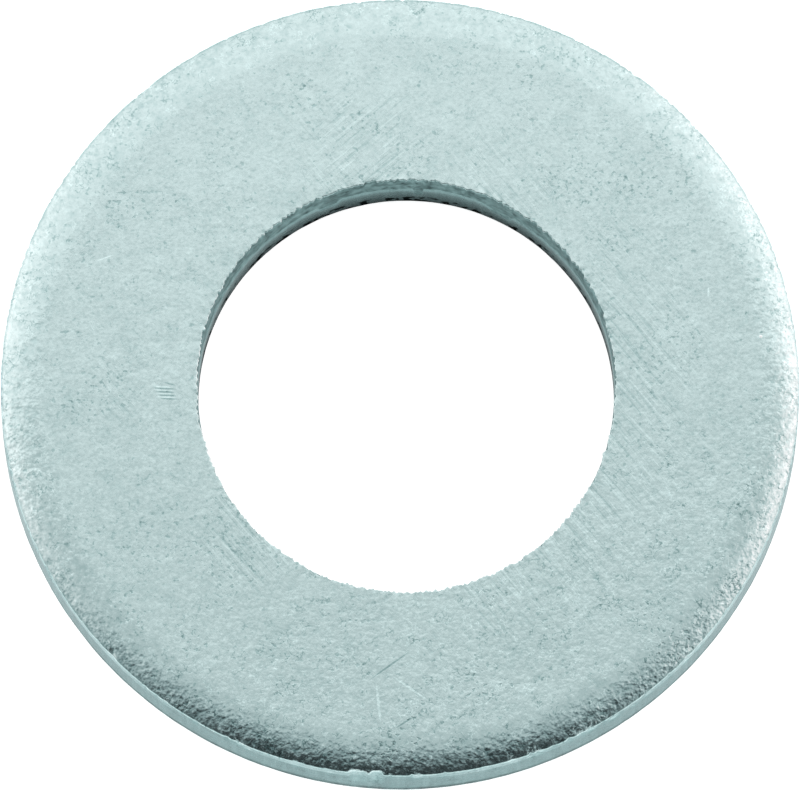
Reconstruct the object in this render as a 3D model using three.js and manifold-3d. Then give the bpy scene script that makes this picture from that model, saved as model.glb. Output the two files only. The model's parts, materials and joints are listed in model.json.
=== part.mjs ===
// A flat washer for an M8 bolt: one stamped steel ring, zinc plated.
// Millimetres, +Z up. The origin is the middle of the blank's bottom face, so the washer lies on z = 0.
//
// The ring keeps the section that a two-stage press tool leaves. Blanking rolls the outer top edge
// over into a wide shoulder, burnishes the wall that it meets at a crease, and breaks the last of the
// thickness away at the foot. The hole is pierced from the other side, so it is rounded at the bottom,
// burnished above that, and breaks out in a slight flare at the top. The strip moves on between the two
// strokes, which leaves the hole a little off the blank's centre.

import * as THREE from "three";
import { mergeVertices } from "three/addons/utils/BufferGeometryUtils.js";
import Module from "manifold-3d";

const wasm = await Module();
wasm.setup();

// Driving dimensions.
const OUTER_DIAMETER = 16;
const BORE_DIAMETER = 8.36; // 8.4 before plating
const THICKNESS = 1.6;
const BORE_OFFSET_X = 0.125;
const BORE_OFFSET_Y = -0.03;

// The blank's outer edge: the shoulder rolled over at the top, and the broken foot.
const SHOULDER_WIDTH = 0.85;
const SHOULDER_DEPTH = 0.22;
const FOOT_HEIGHT = 0.2;
const FOOT_TAPER = 0.02;

// The bore's edges: the rounding-over at the bottom, and the flare at the top.
const BORE_LIP_WIDTH = 0.05;
const BORE_LIP_DEPTH = 0.1;
const FLARE_HEIGHT = 0.6;
const FLARE_WIDTH = 0.07;

// How finely the round stretches are divided.
const TURN_STEPS = 96;
const SHOULDER_STEPS = 8;
const BORE_LIP_STEPS = 3;

const PUNCH_OVERRUN = 1; // how far the punch stands out past each face

const ZINC = new THREE.MeshStandardMaterial({
  color: 0xc8dbdb,
  roughness: 0.35,
  metalness: 1,
});

// Points on an ellipse about (x, y), from one angle to another, both ends included.
function ellipseArc(x, y, width, height, fromAngle, toAngle, steps) {
  const points = [];
  for (let i = 0; i <= steps; i++) {
    const angle = fromAngle + ((toAngle - fromAngle) * i) / steps;
    points.push(new THREE.Vector2(x + width * Math.cos(angle), y + height * Math.sin(angle)));
  }
  return points;
}

// A profile of (radius, height) turned once about Z. It starts and ends on the axis.
function turned(profile) {
  return new THREE.LatheGeometry(profile, TURN_STEPS).rotateX(Math.PI / 2);
}

// The disc that blanking cuts from the strip, before it has a hole.
function blankGeometry() {
  const radius = OUTER_DIAMETER / 2;
  // The shoulder is part of a circle: level where it leaves the top face, and at its steepest at the crease.
  const rollRadius = (SHOULDER_WIDTH ** 2 + SHOULDER_DEPTH ** 2) / (2 * SHOULDER_DEPTH);
  const rollAngle = 2 * Math.atan(SHOULDER_DEPTH / SHOULDER_WIDTH);
  const shoulder = ellipseArc(
    radius - SHOULDER_WIDTH,
    THICKNESS - rollRadius,
    rollRadius,
    rollRadius,
    Math.PI / 2 - rollAngle,
    Math.PI / 2,
    SHOULDER_STEPS,
  );
  return turned([
    new THREE.Vector2(0, 0),
    new THREE.Vector2(radius - FOOT_TAPER, 0),
    new THREE.Vector2(radius, FOOT_HEIGHT),
    ...shoulder,
    new THREE.Vector2(0, THICKNESS),
  ]);
}

// The space that piercing clears, standing out past both faces.
function punchGeometry() {
  const radius = BORE_DIAMETER / 2;
  const lip = ellipseArc(
    radius + BORE_LIP_WIDTH,
    BORE_LIP_DEPTH,
    BORE_LIP_WIDTH,
    BORE_LIP_DEPTH,
    1.5 * Math.PI,
    Math.PI,
    BORE_LIP_STEPS,
  );
  const top = THICKNESS + PUNCH_OVERRUN;
  return turned([
    new THREE.Vector2(0, -PUNCH_OVERRUN),
    new THREE.Vector2(radius + BORE_LIP_WIDTH, -PUNCH_OVERRUN),
    ...lip,
    new THREE.Vector2(radius, THICKNESS - FLARE_HEIGHT),
    new THREE.Vector2(radius + FLARE_WIDTH, THICKNESS),
    new THREE.Vector2(radius + FLARE_WIDTH, top),
    new THREE.Vector2(0, top),
  ]).translate(BORE_OFFSET_X, BORE_OFFSET_Y, 0);
}

// A closed geometry as a solid that can be cut.
function solidOf(geometry) {
  geometry.deleteAttribute("normal");
  geometry.deleteAttribute("uv");
  const merged = mergeVertices(geometry);
  const mesh = new wasm.Mesh({
    numProp: 3,
    vertProperties: new Float32Array(merged.getAttribute("position").array),
    triVerts: new Uint32Array(merged.getIndex().array),
  });
  return new wasm.Manifold(mesh);
}

// A cut solid as a geometry again.
function geometryOf(solid) {
  const { vertProperties, triVerts } = solid.getMesh();
  const geometry = new THREE.BufferGeometry();
  geometry.setAttribute("position", new THREE.BufferAttribute(vertProperties, 3));
  geometry.setIndex(new THREE.BufferAttribute(triVerts, 1));
  geometry.computeVertexNormals();
  return geometry;
}

// The whole washer: the blank with its hole.
function washer() {
  const ring = solidOf(blankGeometry()).subtract(solidOf(punchGeometry()));
  const mesh = new THREE.Mesh(geometryOf(ring), ZINC);
  mesh.name = "washer";
  return mesh;
}

const part = new THREE.Group();
part.add(washer());

export default part;
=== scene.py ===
"""The looks of a flat washer: one stamped steel ring with bright zinc plating, lying in a light tent.

The ring is rebuilt as one dense mesh on the CAD's section, with what the press tool and the plating
barrel leave on it. Lengths on the part are in millimetres, and are scaled to metres as they are used.
"""

import json
import math
import random

import bpy
import numpy as np
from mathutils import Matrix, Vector, noise


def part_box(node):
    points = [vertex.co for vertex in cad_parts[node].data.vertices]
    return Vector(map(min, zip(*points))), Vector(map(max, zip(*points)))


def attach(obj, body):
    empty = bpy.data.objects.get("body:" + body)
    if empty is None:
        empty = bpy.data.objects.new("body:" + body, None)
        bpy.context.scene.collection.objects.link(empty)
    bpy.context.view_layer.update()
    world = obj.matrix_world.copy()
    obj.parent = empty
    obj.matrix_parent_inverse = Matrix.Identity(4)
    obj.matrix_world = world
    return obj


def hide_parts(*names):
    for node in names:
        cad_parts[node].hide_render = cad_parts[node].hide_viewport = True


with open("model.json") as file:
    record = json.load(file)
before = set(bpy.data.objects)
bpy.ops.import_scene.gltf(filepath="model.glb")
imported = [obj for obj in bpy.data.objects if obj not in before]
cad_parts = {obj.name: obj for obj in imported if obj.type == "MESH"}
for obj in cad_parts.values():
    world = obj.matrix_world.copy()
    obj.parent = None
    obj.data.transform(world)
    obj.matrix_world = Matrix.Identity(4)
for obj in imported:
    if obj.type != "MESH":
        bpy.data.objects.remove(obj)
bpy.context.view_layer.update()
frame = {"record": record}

MM = 0.001
SLOT = frame["record"]["materials"][0]["slot"]
NODE = "washer"

# The washer's size, from the CAD node, in millimetres.
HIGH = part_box(NODE)[1]
OUTER_RADIUS = HIGH.x / MM
THICKNESS = HIGH.z / MM

# The bore: its axis is the middle of the opening stated in the record.
OPENING = frame["record"]["physics"]["openings"][0]["box_m"]
BORE_X = (OPENING[0][0] + OPENING[1][0]) / 2 / MM
BORE_Y = (OPENING[0][1] + OPENING[1][1]) / 2 / MM
BORE_RADIUS = 4.17

# The outside of the section, as the press tool leaves it.
SHOULDER_WIDTH = 0.85
SHOULDER_DEPTH = 0.22
ROLL_RADIUS = (SHOULDER_WIDTH**2 + SHOULDER_DEPTH**2) / (2 * SHOULDER_DEPTH)
CREASE_ROUND = 0.05
CREASE_HEIGHT = THICKNESS - SHOULDER_DEPTH
PEEN_HEIGHT = 0.28  # the top of the wall, which tumbling has peened
FOOT_HEIGHT = 0.2
FOOT_TAPER = 0.02
FOOT_ROUND = 0.02

# The bore's side of it. The steel is burnished up to the ledge, and torn from there to the rim.
LIP_WIDTH = 0.05
LIP_DEPTH = 0.1
LEDGE_HEIGHT = 0.95
LEDGE_RISE = 0.12
LEDGE_WIDTH = 0.015
LEDGE_TOP = LEDGE_HEIGHT + LEDGE_RISE
RIM_RADIUS = BORE_RADIUS + 0.07  # at the front and back: at the sides the torn zone is nearly upright

OVALITY = 0.0025  # how much narrower the ring is from front to back than from side to side

TURN_STEPS = 1056
TURNS = np.arange(TURN_STEPS) * math.tau / TURN_STEPS  # the direction of each step, from +X
SEED = 8


# --- the section ----------------------------------------------------------------------------------


def straight(zone, start, end, count, ease=1.0):
    """Stations (radius, height, zone) from start towards end, without the end itself."""
    stations = []
    for i in range(count):
        t = (i / count) ** ease
        stations.append((start[0] + (end[0] - start[0]) * t, start[1] + (end[1] - start[1]) * t, zone))
    return stations


def arc(zone, centre, width, depth, start, end, count):
    """Stations on an ellipse about centre, from one angle towards another, without the last."""
    stations = []
    for i in range(count):
        angle = start + (end - start) * i / count
        r = centre[0] + width * math.cos(angle)
        z = centre[1] + depth * math.sin(angle)
        stations.append((r, z, zone))
    return stations


def section():
    """The closed section: from the rim out over the top, down, back underneath and up the bore."""
    top = THICKNESS
    half = math.pi / 2

    # The shoulder's circle, and the small round at the crease, which touches that circle and the wall.
    roll = (OUTER_RADIUS - SHOULDER_WIDTH, top - ROLL_RADIUS)
    across = SHOULDER_WIDTH - CREASE_ROUND
    rise = math.sqrt((ROLL_RADIUS - CREASE_ROUND) ** 2 - across**2)
    crease = (OUTER_RADIUS - CREASE_ROUND, roll[1] + rise)
    steepest = math.atan2(rise, across)

    peen_foot = (OUTER_RADIUS, CREASE_HEIGHT - PEEN_HEIGHT)
    foot_radius = OUTER_RADIUS - FOOT_TAPER
    lip_radius = BORE_RADIUS + LIP_WIDTH
    ledge_radius = BORE_RADIUS + LEDGE_WIDTH
    return (
        straight("top", (RIM_RADIUS, top), (roll[0], top), 24, 1.6)
        + arc("shoulder", roll, ROLL_RADIUS, ROLL_RADIUS, half, steepest, 20)
        + arc("crease", crease, CREASE_ROUND, CREASE_ROUND, steepest, 0, 5)
        + straight("peened", (OUTER_RADIUS, crease[1]), peen_foot, 5)
        + straight("wall", peen_foot, (OUTER_RADIUS, FOOT_HEIGHT), 5)
        + straight("foot", (OUTER_RADIUS, FOOT_HEIGHT), (foot_radius, FOOT_ROUND), 3)
        + straight("foot", (foot_radius, FOOT_ROUND), (foot_radius - FOOT_ROUND, 0), 2)
        + straight("bottom", (foot_radius - FOOT_ROUND, 0), (lip_radius, 0), 8)
        + arc("lip", (lip_radius, LIP_DEPTH), LIP_WIDTH, LIP_DEPTH, 3 * half, 2 * half, 4)
        + straight("bore", (BORE_RADIUS, LIP_DEPTH), (BORE_RADIUS, LEDGE_HEIGHT), 8)
        + straight("ledge", (BORE_RADIUS, LEDGE_HEIGHT), (ledge_radius, LEDGE_TOP), 2)
        + straight("break", (ledge_radius, LEDGE_TOP), (RIM_RADIUS, top), 8)
    )


# --- the ring -------------------------------------------------------------------------------------

# What each zone's surface is like: how far it stands in and out, in millimetres, and how rolled,
# burnished and torn it is, each from 0 to 1. How burnished a zone is also sets how much painted shade
# darkens it.
ZONES = {
    "top": (0.0012, 0.0, 0.0, 0.0),
    "shoulder": (0.002, 1.0, 0.0, 0.0),
    "crease": (0.002, 0.5, 0.4, 0.0),
    "peened": (0.003, 0.3, 0.55, 0.0),
    "wall": (0.0006, 0.0, 1.0, 0.0),
    "foot": (0.003, 0.0, 1.0, 0.8),
    "bottom": (0.0012, 0.0, 0.0, 0.0),
    "lip": (0.003, 0.0, 1.0, 0.0),
    "bore": (0.0010, 0.0, 1.0, 0.0),
    "ledge": (0.0025, 0.0, 1.0, 0.0),
    "break": (0.006, 0.0, 0.0, 1.0),
}
CHANNELS = ("rolled", "burnished", "torn")

# How uneven the edges are round the turn: sums of noise, each with its size of swing, the width of its
# bumps and its seed.
LEDGE_WAVES = ((0.12, 1.6, 3), (0.08, 0.3, 4))
FOOT_WAVES = ((0.06, 2.0, 7), (0.04, 0.3, 8))
PEEN_WAVES = ((0.03, 0.4, 5), (0.05, 0.07, 6))
PEEN_PATCHES = ((2.5, 2.5, 14),)  # how unevenly the peened strip is burnished
RIM_GRIT = ((0.05, 0.06, 11),)
RIM_BURR = ((0.015, 0.12, 12),)
RIM_CHIPS = ((0.06, 0.13, 9), (0.05, 0.4, 10))
CHIP_LEVEL = 0.1  # only noise above this chips the rim

# How far an edge's unevenness reaches up and down the wall, and how far it reaches over the top face.
LEDGE_REACH = 0.6
FOOT_REACH = 0.15
RIM_REACH = 0.3
RIM_REACH_OVER = 0.05
FLARE_REACH_OVER = 0.5

# The two sizes of bump on every surface, each with its seed.
BUMP_SIZES = ((0.2, 1), (0.7, 2))

# The knocks from the plating barrel: how many, where, how wide, and how deep as a share of their width.
DENTS = 90  # those on the two faces
DENT_RADII = (4.5, 7.7)
DENT_WIDTHS = (0.08, 0.25)
DENT_DEPTHS = (0.01, 0.03)
DINGS = 130  # those along the crease
DING_RADIUS = 7.97
DING_HEIGHTS = (1.15, 1.4)
DING_WIDTHS = (0.06, 0.16)
DING_DEPTHS = (0.04, 0.14)

# A knock this deep takes the burnished wall's darkening and painted shade off again, by these shares,
# leaving it bright.
FRESH_DEPTH = 0.006
KNOCK_FRESHNESS = 0.7
BLOW_FRESHNESS = 0.2

# Two blows that squashed the front edge: middle x, half width, how far in and how tall.
BLOWS = ((-0.83, 0.25, 0.08, 1.1), (-0.47, 0.17, 0.1, 0.75))
BLOW_STEEPNESS = 2  # a blow is at its full depth over the middle half of its width

# Where the torn zone runs down into the burnished one: direction in degrees, half width and depth.
TEARS = ((86.7, 0.11, 0.35), (112.0, 0.25, 0.2), (63.0, 0.3, 0.25))
TEAR_STEEPNESS = 2.5  # a tear is at its full depth over the middle three fifths of its width

# Painted shade in the bore, for the shadowed floor that it mirrors, growing from the ledge down to the
# bottom edge; and darker where a tear runs far down.
LEDGE_PAINTED_SHADE = 0.14
ADDED_PAINTED_SHADE = 0.82
PAINTED_SHADE_POWER = 0.45
TEAR_DARKENING = 0.6
DEEP_TEAR = 0.35


def wave(x, y, z, size, seed):
    """Smooth noise from about -1 to 1 whose bumps are about size across."""
    return noise.noise(Vector((x / size + seed, y / size - seed, z / size)))


def round_wave(radius, size, seed):
    """The same noise round a circle: one value for each step of the turn."""
    return np.array([wave(radius * math.cos(t), radius * math.sin(t), 0, size, seed) for t in TURNS])


def round_waves(radius, waves):
    """The sum of some (swing, size, seed) waves round a circle."""
    return sum(swing * round_wave(radius, size, seed) for swing, size, seed in waves)


def near(values, middle, reach):
    """1 at the middle, falling in a straight line to 0 at reach on either side."""
    return np.clip(1 - np.abs(values - middle) / reach, 0, 1)


def section_normals(radius, height):
    """The outward direction (radial, up) at each station of the closed section."""
    points = np.stack([radius, height], 1)
    along = np.roll(points, -1, 0) - np.roll(points, 1, 0)
    outward = np.stack([-along[:, 1], along[:, 0]], 1)
    return outward / np.linalg.norm(outward, axis=1)[:, None]


def tears():
    """How far down the torn zone runs, for each step of the turn."""
    down = np.zeros(TURN_STEPS)
    for direction, half_width, depth in TEARS:
        beside = near(TURNS, math.radians(direction), half_width / BORE_RADIUS)
        down += depth * np.clip(TEAR_STEEPNESS * beside, 0, 1)
    return down


def torn_edges(radius, height, zones):
    """How far each point moves out and up where an edge of the press tool's cut is uneven."""
    def zone(*names):
        return np.isin(zones, names)[:, None]

    def fading_over(reach):
        return np.exp(-(radius - RIM_RADIUS) / reach)[:, None]

    ledge = round_waves(BORE_RADIUS, LEDGE_WAVES) - tears()
    foot = round_waves(OUTER_RADIUS, FOOT_WAVES)
    inside = zone("lip", "bore", "ledge", "break")
    up = inside * near(height, LEDGE_HEIGHT + LEDGE_RISE / 2, LEDGE_REACH)[:, None] * ledge
    up = up + zone("wall", "foot") * near(height, FOOT_HEIGHT, FOOT_REACH)[:, None] * foot

    chips = round_waves(BORE_RADIUS, RIM_GRIT)
    for depth, size, seed in RIM_CHIPS:
        chips = chips + depth * np.clip(round_wave(BORE_RADIUS, size, seed) - CHIP_LEVEL, 0, 1)
    rim = zone("top") * fading_over(RIM_REACH_OVER)
    rim = rim + zone("break") * near(height, THICKNESS, RIM_REACH)[:, None]
    up = up + rim * round_waves(BORE_RADIUS, RIM_BURR)

    # Towards the sides the torn zone flares less, and the top face reaches in to meet its rim.
    flare = (RIM_RADIUS - BORE_RADIUS - LEDGE_WIDTH) * (np.abs(np.sin(TURNS)) - 1)
    risen = np.clip((height - LEDGE_TOP) / (THICKNESS - LEDGE_TOP), 0, 1)[:, None]
    flared = zone("break") * risen + zone("top") * fading_over(FLARE_REACH_OVER)
    return rim * chips + flared * flare, up


def peened(radius, height, zones):
    """Lean the top of the wall inwards, unevenly, so that the crease wanders in and out."""
    inward = round_waves(OUTER_RADIUS, PEEN_WAVES)
    rise = np.clip((height - CREASE_HEIGHT) / PEEN_HEIGHT + 1, 0, None)
    leant = np.minimum(radius, OUTER_RADIUS - np.maximum(inward, 0) * rise)
    outside = np.isin(zones, ("shoulder", "crease", "peened"))[:, None]
    return np.where(outside, leant, radius)


def marks(points, rng):
    """How far the surface is pressed in by the knocks of the plating barrel."""
    pressed = np.zeros(points.shape[:2])

    def press(place, across, depth):
        distance = np.linalg.norm(points - np.array(place), axis=2)
        pressed[:] += depth * np.clip(1 - (distance / across) ** 2, 0, 1) ** 2

    for _ in range(DENTS):
        turn, radius = rng.uniform(0, math.tau), rng.uniform(*DENT_RADII)
        across = rng.uniform(*DENT_WIDTHS)
        place = (radius * math.cos(turn), radius * math.sin(turn), rng.choice((0, THICKNESS)))
        press(place, across, across * rng.uniform(*DENT_DEPTHS))
    for _ in range(DINGS):
        turn = rng.uniform(0, math.tau)
        across = rng.uniform(*DING_WIDTHS)
        place = (DING_RADIUS * math.cos(turn), DING_RADIUS * math.sin(turn), rng.uniform(*DING_HEIGHTS))
        press(place, across, across * rng.uniform(*DING_DEPTHS))
    return pressed


def struck(points, height):
    """How far in the blows on the front edge push it."""
    depth = np.zeros(points.shape[:2])
    outer = np.linalg.norm(points[:, :, :2], axis=2)
    front = points[:, :, 1] < 0
    for middle, half_width, inward, tall in BLOWS:
        beside = np.clip(BLOW_STEEPNESS * near(points[:, :, 0], middle, half_width), 0, 1) * front
        rise = np.clip((height[:, None] - CREASE_HEIGHT) / tall + 1, 0, None)
        depth = np.maximum(depth, outer - (OUTER_RADIUS - inward * beside * rise))
    return depth * (outer > OUTER_RADIUS - SHOULDER_WIDTH)


def add_channel(mesh, name, values):
    """A number for each point of the ring."""
    mesh.attributes.new(name, "FLOAT", "POINT").data.foreach_set("value", values.ravel())


def add_channels(mesh, radius, height, zones, pressed, pushed):
    """How rolled, burnished and torn the ring is at each of its points, and how much shade is painted
    into its bore.
    """
    def fresh(depth):
        return np.clip(depth / FRESH_DEPTH, 0, 1)

    everywhere = np.ones_like(pressed)
    worn = 1 - KNOCK_FRESHNESS * fresh(pressed) - BLOW_FRESHNESS * fresh(pushed)
    uneven = 1 + round_waves(OUTER_RADIUS, PEEN_PATCHES) * np.isin(zones, "peened")[:, None]
    climbed = np.sqrt(np.clip((radius - OUTER_RADIUS) / SHOULDER_WIDTH + 1, 0, 1))[:, None]
    strength = {"rolled": climbed, "burnished": worn * np.clip(uneven, 0, 2), "torn": 1.0}
    for column, name in enumerate(CHANNELS, 1):
        values = np.array([ZONES[zone][column] for zone in zones])[:, None]
        add_channel(mesh, name, values * strength[name] * everywhere)

    # Painted shade in the bore: some all over it, more towards its bottom edge, and more where a tear
    # runs far down.
    in_bore = np.isin(zones, ("lip", "bore", "ledge"))[:, None]
    below_ledge = np.clip(1 - height[:, None] / LEDGE_HEIGHT, 0, 1)
    bore_shade = in_bore * (LEDGE_PAINTED_SHADE + ADDED_PAINTED_SHADE * below_ledge**PAINTED_SHADE_POWER)
    bore_shade = np.maximum(bore_shade, in_bore * np.clip(tears() / DEEP_TEAR, 0, 1) * TEAR_DARKENING)
    add_channel(mesh, "painted_bore_shade", bore_shade * everywhere)


def washer_mesh():
    """The ring: the section swept round, then made uneven, bumpy, knocked and squashed."""
    stations = section()
    radius = np.array([r for r, _, _ in stations])
    height = np.array([z for _, z, _ in stations])
    zones = np.array([zone for _, _, zone in stations])
    outward = np.stack([np.cos(TURNS), np.sin(TURNS), np.zeros(TURN_STEPS)], 1)

    # The bore's offset fades from all of it at the bore to none at the outside.
    share = np.clip((OUTER_RADIUS - radius) / (OUTER_RADIUS - BORE_RADIUS), 0, 1)
    moved_out, moved_up = torn_edges(radius, height, zones)
    points = outward * peened(radius[:, None] + moved_out, height[:, None], zones)[:, :, None]
    points += share[:, None, None] * np.array((BORE_X, BORE_Y, 0))
    points[:, :, 1] *= 1 - OVALITY
    points[:, :, 2] = height[:, None] + moved_up

    relief = np.array([ZONES[zone][0] for zone in zones])[:, None]
    bumps = [sum(wave(*point, *bump) for bump in BUMP_SIZES) for point in points.reshape(-1, 3)]
    pressed = marks(points, random.Random(SEED))
    pushed = struck(points, height)
    points -= pushed[:, :, None] * outward
    out = relief * np.array(bumps).reshape(points.shape[:2]) - pressed

    # The underside only dips, so that the ring rests flat on the floor.
    out = np.where(np.isin(zones, "bottom")[:, None], np.minimum(out, 0), out)
    normals = section_normals(radius, height)
    points += (normals[:, 0][:, None] * out)[:, :, None] * outward
    points[:, :, 2] += normals[:, 1][:, None] * out

    # One four-sided face between each two stations and each two steps, facing outwards.
    a = np.arange(points.shape[0] * TURN_STEPS).reshape(-1, TURN_STEPS)
    b = np.roll(a, -1, 1)
    quads = np.stack([a, np.roll(a, -1, 0), np.roll(b, -1, 0), b], 2).reshape(-1, 4)
    mesh = bpy.data.meshes.new("washer_ring")
    mesh.from_pydata((points.reshape(-1, 3) * MM).tolist(), [], quads.tolist())
    mesh.shade_smooth()
    add_channels(mesh, radius, height, zones, pressed, pushed)
    return mesh


# --- the camera and the light ---------------------------------------------------------------------

# The camera, the tent and the panel are placed in metres. Only the lens is in millimetres.
CAMERA_LENS = 1121.5
CAMERA_TILT = 12.8  # degrees from straight above, towards the front
CAMERA_DISTANCE = 0.5
CAMERA_AIM = Vector((0, 0, 0.62 * MM))

TENT_STRENGTH = 0.68
OPENING_STRENGTH = 0.03

PANEL_PLACE = (-0.033, 0.322, 0.1)
PANEL_SIZE = (0.7, 0.6)
PANEL_RADIANCE = 0.396
PANEL_TURN = 6  # degrees
PANEL_COLOUR = (1.0, 0.91, 0.91)

FLOOR_GAP = 0.01 * MM
PAPER_COLOUR = (0.92, 0.92, 0.92, 1)
PAPER_GLOW = 0.85


def make_camera():
    """A long lens above the washer, tilted a little towards the front."""
    data = bpy.data.cameras.new("camera")
    data.sensor_width = 36
    data.lens = CAMERA_LENS
    camera = bpy.data.objects.new("camera", data)
    bpy.context.scene.collection.objects.link(camera)
    tilt = math.radians(CAMERA_TILT)
    back = Vector((0, -math.sin(tilt), math.cos(tilt)))
    camera.location = CAMERA_AIM + back * CAMERA_DISTANCE
    camera.rotation_mode = "QUATERNION"
    camera.rotation_quaternion = (-back).to_track_quat("-Z", "Y")
    bpy.context.scene.camera = camera


class Nodes:
    """A short way to write a node tree."""

    def __init__(self, tree):
        self.tree = tree
        tree.nodes.clear()

    def add(self, kind, inputs=(), **settings):
        node = self.tree.nodes.new(kind)
        for name, value in settings.items():
            setattr(node, name, value)
        for socket, value in dict(inputs).items():
            self.put(node.inputs[socket], value)
        return node

    def put(self, socket, value):
        if isinstance(value, bpy.types.NodeSocket):
            self.tree.links.new(value, socket)
        else:
            socket.default_value = value

    def math(self, operation, *values, clamp=False):
        node = self.add("ShaderNodeMath", dict(enumerate(values)), operation=operation, use_clamp=clamp)
        return node.outputs[0]

    def total(self, *values):
        value = values[0]
        for other in values[1:]:
            value = self.math("ADD", value, other)
        return value

    def times(self, value, factor):
        return self.math("MULTIPLY", value, factor)

    def less(self, value, share):
        """1 less the value's share."""
        return self.math("MULTIPLY_ADD", value, -share, 1.0, clamp=True)

    def vector(self, operation, *values, **named):
        inputs = dict(enumerate(values)) | named
        return self.add("ShaderNodeVectorMath", inputs, operation=operation).outputs[0]

    def length(self, operation, *values):
        """The number that a vector operation gives, such as a length or a distance."""
        inputs = dict(enumerate(values))
        return self.add("ShaderNodeVectorMath", inputs, operation=operation).outputs["Value"]

    def mapping(self, value, vector_type="POINT", **inputs):
        inputs = {"Vector": value} | inputs
        return self.add("ShaderNodeMapping", inputs, vector_type=vector_type).outputs[0]

    def straight_ramp(self, value, low, high, to_low, to_high):
        """value, in a straight line from low to high onto to_low to to_high."""
        inputs = {0: value, 1: low, 2: high, 3: to_low, 4: to_high}
        return self.add("ShaderNodeMapRange", inputs).outputs[0]

    def ramp(self, value, low, high, to_low=0.0, to_high=1.0):
        """value, eased from low to high onto to_low to to_high."""
        inputs = {0: value, 1: low, 2: high, 3: to_low, 4: to_high}
        return self.add("ShaderNodeMapRange", inputs, interpolation_type="SMOOTHSTEP").outputs[0]

    def noise(self, place, per_mm, detail):
        """Noise from -1 to 1 whose bumps are 1 / per_mm across."""
        inputs = {"Vector": place, "Scale": per_mm, "Detail": detail, "Roughness": 0.55}
        value = self.add("ShaderNodeTexNoise", inputs).outputs["Fac"]
        return self.straight_ramp(value, 0.0, 1.0, -1.0, 1.0)

    def channel(self, name):
        return self.add("ShaderNodeAttribute", attribute_name=name).outputs["Fac"]


def make_tent():
    """A white light tent, with a dark opening high at the front, and brightest low down on the right."""
    world = bpy.data.worlds.new("tent")
    bpy.context.scene.world = world
    world.use_nodes = True
    n = Nodes(world.node_tree)
    direction = n.add("ShaderNodeTexCoord").outputs["Generated"]
    xyz = n.add("ShaderNodeSeparateXYZ", {0: direction}).outputs
    x, y, z = xyz["X"], xyz["Y"], xyz["Z"]
    opening = n.straight_ramp(y, -0.58, -0.12, OPENING_STRENGTH, TENT_STRENGTH)
    below = n.ramp(z, 0.3, 0.52, 0.6, 0.0)
    right = n.ramp(x, 0.3, 1.0, 0.0, 0.6)
    left = n.ramp(x, -1.0, -0.35, 0.34, 0.0)
    strength = n.total(n.math("MAXIMUM", opening, below), n.total(right, left))

    # The dim parts are cooler than the bright ones.
    warmth = n.math("MULTIPLY_ADD", n.math("POWER", strength, 1.7), 0.3, 0.775)
    red = n.times(strength, warmth)
    blue = n.times(strength, n.ramp(strength, 0.0, 0.8, 1.05, 1.0))
    colour = n.add("ShaderNodeCombineColor", {0: red, 1: strength, 2: blue}).outputs[0]
    sky = n.add("ShaderNodeBackground", {"Color": colour})
    n.add("ShaderNodeOutputWorld", {"Surface": sky.outputs[0]})


def make_panel():
    """A soft panel close above and behind: its front edge shades the washer's face from back to front."""
    data = bpy.data.lights.new("panel", "AREA")
    data.shape = "RECTANGLE"
    data.size, data.size_y = PANEL_SIZE
    data.energy = PANEL_RADIANCE * math.pi * PANEL_SIZE[0] * PANEL_SIZE[1]
    data.color = PANEL_COLOUR
    panel = bpy.data.objects.new("panel", data)
    panel.location = PANEL_PLACE
    panel.rotation_euler.z = math.radians(PANEL_TURN)
    panel.visible_camera = False
    panel.visible_diffuse = False
    bpy.context.scene.collection.objects.link(panel)


def make_floor():
    """White paper on a light table, which leaves hardly any shadow, just under the washer."""
    bpy.ops.mesh.primitive_plane_add(size=4, location=(0, 0, -FLOOR_GAP))
    floor = bpy.context.object
    floor.name = "floor"
    material = bpy.data.materials.new("paper")
    material.use_nodes = True
    shader = material.node_tree.nodes["Principled BSDF"]
    shader.inputs["Base Color"].default_value = PAPER_COLOUR
    shader.inputs["Roughness"].default_value = 0.9
    shader.inputs["Specular IOR Level"].default_value = 0.1
    shader.inputs["Emission Color"].default_value = (1, 1, 1, 1)
    shader.inputs["Emission Strength"].default_value = PAPER_GLOW
    floor.data.materials.append(material)


# --- the plating ----------------------------------------------------------------------------------

# The marks that stand out on the top face: middle x and y, direction in degrees, length, width, and how
# much lighter or darker than the plating.
NICKS = [
    (6.45, -4.40, 8, 0.34, 0.05, -0.4),
    (6.45, -4.46, 8, 0.34, 0.04, 0.3),
    (-0.43, -6.55, -84, 1.0, 0.07, 0.22),
    (0.22, -6.24, -35, 1.15, 0.055, 0.25),
    (-0.20, -5.76, 36, 1.1, 0.045, -0.35),
    (0.10, -6.92, 33, 0.5, 0.045, -0.35),
    (7.23, 0.98, 80, 0.09, 0.09, 0.6),
    (7.24, 1.07, 10, 0.08, 0.05, -0.5),
    (6.18, 1.90, 88, 0.24, 0.05, 0.3),
    (-5.90, 2.60, 20, 0.4, 0.03, 0.3),
    (-4.62, 0.01, -16, 0.3, 0.04, -0.25),
]
for i in range(4):
    NICKS.append((-4.72 + 0.03 * i, -0.09 - 0.07 * i, -3, 0.5 - 0.03 * i, 0.045, -0.3))
    NICKS.append((-4.76 + 0.02 * i, -0.055 - 0.07 * i, -3, 0.5, 0.04, 0.25))

# The press scratches: direction in degrees, how many lie side by side in a millimetre, and a shift that
# makes each set its own.
PRESS_SCRATCHES = (50, 15.0, 0.0)
CROSS_SCRATCHES = (-40, 12.0, 5.0)
CROSS_PATCH = (-0.6, 4.9, THICKNESS)  # the middle of the second set

# The plating's grains, large to small: bumps in a millimetre, and how much finer detail each has.
GRAINS = {
    "cloud": (0.6, 3.0),
    "mottle": (2.5, 2.0),
    "coarse": (6.0, 1.0),
    "grain": (11.0, 1.0),
    "fine": (20.0, 1.0),
}

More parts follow.
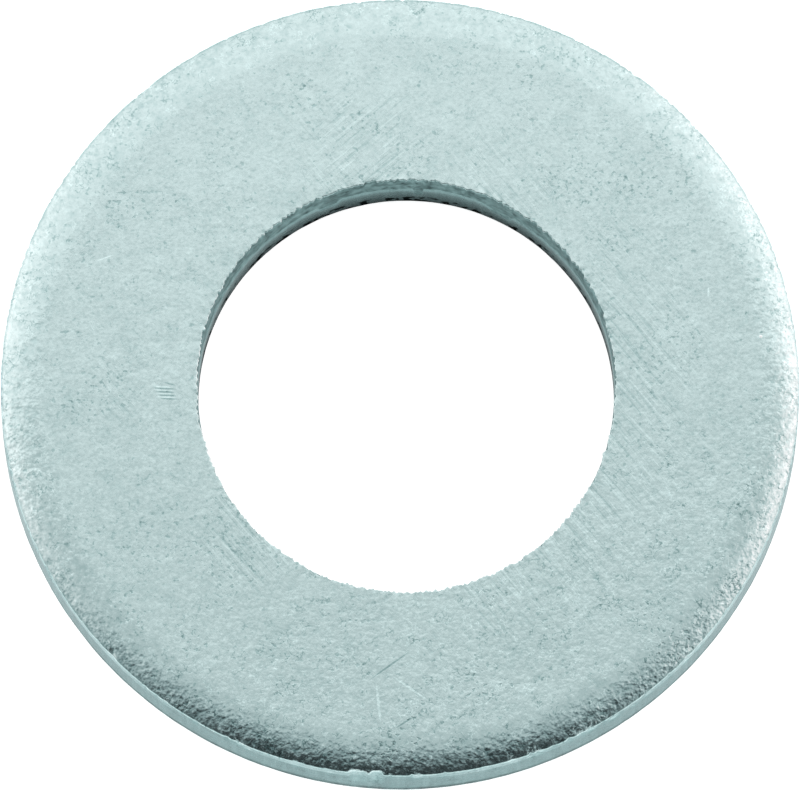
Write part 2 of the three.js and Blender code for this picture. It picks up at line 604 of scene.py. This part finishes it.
# How much each kind of mark lightens the plating, or darkens it where the number is negative.
TONES = {
    "fine": 0.06,
    "grain": 0.075,
    "coarse": 0.065,
    "mottle": 0.08,
    "cloud": 0.08,
    "flecks": -0.3,
    "pits": -0.22,
    "lines": 0.12,
}
DARK_STROKES = -0.2
LIGHT_STROKES = 0.14
ROLLED_TONE = 0.11
STREAK_TONE = 0.3
TORN_TONE = 0.9

# How much darker the plating is where it is burnished (painted shade, for the shadowed floor that the
# walls mirror), torn, under the bore's painted shade, or specked.
BURNISHED_PAINTED_SHADE = 0.47
TORN_SHADE = 0.69
PAINTED_BORE_SHADE_SHARE = 1.0
SPECK_SHADE = 0.9

# How far each grain stands up, in millimetres, on the tumbled faces, the shoulder and the torn zone.
TUMBLED_RELIEF = {"fine": 0.0005, "grain": 0.0013, "coarse": 0.0018, "flecks": -0.002}
ROLLED_RELIEF = {"fine": 0.0007, "grain": 0.0025, "coarse": 0.003}
TORN_RELIEF = {"grain": 0.006, "coarse": 0.01}
LINE_RELIEF = 0.0008
STREAK_RELIEF = 0.001

# How rough the plating is, and how its grains and zones change that.
ROUGHNESS = 0.27
GRAIN_ROUGHNESS = {"grain": 0.05, "fine": 0.05}
TORN_ROUGHNESS = 0.2
ROLLED_ROUGHNESS = -0.05

# How many grains tip their own way in a millimetre, and how far they tip.
TIP_GRAINS = 14.0
TIP = 0.12
ROLLED_TIP = 0.18
TORN_TIP = 0.3

REFLECTANCE = 0.762
EDGE_TINT = (0.54, 0.6, 0.61, 1)  # what a burnished wall mirrors when it is seen edge-on


def scratches(n, mm, angle, across, shift):
    """Long thin streaks across the face, lighter and darker, at an angle in degrees."""
    turned = n.mapping(mm, Rotation=(0, 0, math.radians(angle)))
    stretched = n.mapping(turned, Scale=(0.05, 1.0, 0.05), Location=(shift, 0, 0))
    value = n.noise(stretched, across, 2.0)
    return n.math("SUBTRACT", n.ramp(value, 0.1, 0.35), n.ramp(value, -0.1, -0.35))


def press_lines(n, mm, x):
    """Parallel scratches from the press, in patches, mostly round the bore and to its right."""
    flat_place = n.vector("MULTIPLY", mm, (1, 1, 0))
    round_bore = n.ramp(n.length("DISTANCE", flat_place, (BORE_X, BORE_Y, 0)), 4.6, 6.6, 1.0, 0.1)
    patches = n.ramp(n.total(n.noise(mm, 0.45, 1.0), n.ramp(x, 1.0, 5.0, 0.0, 0.4)), -0.1, 0.4)
    cross_patch = n.ramp(n.length("DISTANCE", mm, CROSS_PATCH), 0.7, 1.5, 1.0, 0.0)
    return n.total(
        n.times(scratches(n, mm, *PRESS_SCRATCHES), n.times(round_bore, patches)),
        n.times(scratches(n, mm, *CROSS_SCRATCHES), cross_patch),
    )


def nick(n, mm, middle_x, middle_y, turn, length, width, tone):
    """One long thin mark on the top face."""
    own = n.mapping(
        mm,
        "TEXTURE",
        Location=(middle_x, middle_y, THICKNESS),
        Rotation=(0, 0, math.radians(turn)),
        Scale=(length / 2, width / 2, 0.3),
    )
    return n.ramp(n.length("LENGTH", own), 0.5, 1.0, tone, 0.0)


def strokes(n, mm, per_mm, shift):
    """Short curved strokes, in patches, where a noise passes through its middle value."""
    shifted = n.vector("ADD", mm, (shift, 0, 0))
    line = n.ramp(n.math("ABSOLUTE", n.noise(shifted, per_mm, 2.0)), 0.06, 0.0)
    return n.times(line, n.ramp(n.noise(shifted, 3.0, 1.0), 0.05, 0.25))


def weighted(n, parts, weights):
    """The sum of the named parts, each times its weight."""
    return n.total(*(n.times(parts[name], weight) for name, weight in weights.items()))


def plating_parts(n, mm, x, y, tumbled):
    """The grains and marks of the plating, each a number at every place on it."""
    parts = {name: n.noise(mm, *grain) for name, grain in GRAINS.items()}
    clusters = n.ramp(n.noise(mm, 0.9, 2.0), -0.1, 0.3)
    parts["flecks"] = n.times(n.ramp(n.noise(mm, 10.0, 2.0), 0.12, 0.35), clusters)
    parts["pits"] = n.ramp(n.noise(mm, 9.0, 1.0), 0.38, 0.5)
    parts["lines"] = n.times(press_lines(n, mm, x), tumbled)
    parts["streaks"] = n.noise(n.vector("MULTIPLY", mm, (1, 1, 0.06)), 9.0, 2.0)
    parts["layers"] = n.noise(n.vector("MULTIPLY", mm, (1, 1, 4)), 2.0, 3.0)

    # The plating is most crumpled at the front, a little to the right.
    frontness = n.total(n.times(y, -1.0), n.times(x, 0.35))
    parts["crumpled"] = n.ramp(frontness, 1.5, 6.5, 0.0, 1.3)
    return parts


def plating_tone(n, mm, parts, rolled, burnished, torn, painted_bore_shade, specks):
    """How light the plating is: 1 for plain plating on the top face."""
    dark, light = strokes(n, mm, 6.0, 7.0), strokes(n, mm, 7.0, 23.0)
    stroked = n.total(n.times(dark, DARK_STROKES), n.times(light, LIGHT_STROKES))
    grained = n.total(parts["grain"], parts["coarse"])
    layered = n.total(n.times(parts["layers"], 0.5), parts["coarse"])
    tone = n.total(
        weighted(n, parts, TONES),
        1.0,
        n.times(stroked, n.total(0.8, parts["crumpled"], rolled)),
        n.times(n.times(grained, rolled), ROLLED_TONE),
        n.times(parts["streaks"], n.times(burnished, STREAK_TONE)),
        n.times(layered, n.times(torn, TORN_TONE)),
        *(nick(n, mm, *mark) for mark in NICKS),
    )
    # Painted shade on the burnished walls, for the shadowed floor that they mirror.
    tone = n.times(tone, n.less(burnished, BURNISHED_PAINTED_SHADE))
    tone = n.times(tone, n.less(torn, TORN_SHADE))
    # Painted shade in the bore, darkest towards its bottom edge.
    tone = n.times(tone, n.less(painted_bore_shade, PAINTED_BORE_SHADE_SHARE))
    return n.math("MAXIMUM", n.times(tone, n.less(specks, SPECK_SHADE)), 0.0)


def plating_height(n, parts, tumbled, rolled, burnished, torn):
    """How far the plating's grains and marks stand up, in millimetres."""
    tumbled_relief = n.times(weighted(n, parts, TUMBLED_RELIEF), n.total(1.0, parts["crumpled"]))
    return n.total(
        n.times(tumbled_relief, tumbled),
        n.times(weighted(n, parts, ROLLED_RELIEF), rolled),
        n.times(parts["lines"], LINE_RELIEF),
        n.times(weighted(n, parts, TORN_RELIEF), torn),
        n.times(parts["streaks"], n.times(burnished, STREAK_RELIEF)),
    )


def plating():
    """Bright zinc: rolled on the shoulder, burnished on the walls, torn in the bore, with painted shade
    on the walls and down the bore.
    """
    material = bpy.data.materials.new(SLOT)
    material.use_nodes = True
    n = Nodes(material.node_tree)
    mm = n.vector("SCALE", n.add("ShaderNodeTexCoord").outputs["Object"], Scale=1 / MM)
    xyz = n.add("ShaderNodeSeparateXYZ", {0: mm}).outputs
    rolled, burnished, torn = (n.channel(name) for name in CHANNELS)
    painted_bore_shade = n.channel("painted_bore_shade")
    tumbled = n.math("SUBTRACT", n.less(burnished, 1.0), torn, clamp=True)
    parts = plating_parts(n, mm, xyz["X"], xyz["Y"], tumbled)
    # Dark specks, only where the bore's painted shade is deepest.
    specks = n.times(n.ramp(n.noise(mm, 5.0, 1.0), 0.08, 0.17), n.ramp(painted_bore_shade, 0.7, 0.8))

    # The darker the plating, the bluer it is.
    tone = plating_tone(n, mm, parts, rolled, burnished, torn, painted_bore_shade, specks)
    green = n.times(tone, REFLECTANCE)
    redness = n.math("MULTIPLY_ADD", n.math("MULTIPLY", tone, tone, clamp=True), 0.2, 0.62)
    base = n.add("ShaderNodeCombineColor", {0: n.times(green, redness), 1: green, 2: green}).outputs[0]

    rough = n.total(
        weighted(n, parts, GRAIN_ROUGHNESS),
        ROUGHNESS,
        n.times(torn, TORN_ROUGHNESS),
        n.times(rolled, ROLLED_ROUGHNESS),
    )

    # The grains each tip their own way, and most where the shoulder is stretched and the bore is torn.
    height = plating_height(n, parts, tumbled, rolled, burnished, torn)
    bump = n.add("ShaderNodeBump", {"Height": height, "Distance": MM, "Strength": 1.0}).outputs[0]
    tips = n.add("ShaderNodeTexNoise", {"Vector": mm, "Scale": TIP_GRAINS, "Detail": 1.0})
    tips = n.vector("SUBTRACT", tips.outputs["Color"], (0.5, 0.5, 0.5))
    tipped = n.total(TIP, n.times(rolled, ROLLED_TIP), n.times(torn, TORN_TIP))
    tilted = n.vector("ADD", bump, n.vector("SCALE", tips, Scale=tipped))

    # Where the bore's painted shade is deep, and on the specks, the plating stops being metal, which
    # paints it darker still.
    inputs = {
        "Base Color": base,
        "Roughness": rough,
        "Metallic": n.times(n.less(painted_bore_shade, 0.8), n.less(specks, 1.0)),
        "Normal": n.vector("NORMALIZE", tilted),
        "Specular IOR Level": 0.0,
        "Specular Tint": EDGE_TINT,
    }
    shader = n.add("ShaderNodeBsdfPrincipled", inputs)
    n.add("ShaderNodeOutputMaterial", {"Surface": shader.outputs[0]})
    return material


# --- everything -----------------------------------------------------------------------------------

make_camera()
make_tent()
make_panel()
make_floor()

ring = bpy.data.objects.new("washer_ring", washer_mesh())
bpy.context.scene.collection.objects.link(ring)
ring.data.materials.append(plating())
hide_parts(NODE)
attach(ring, "root")

bpy.context.scene.view_settings.view_transform = "Standard"
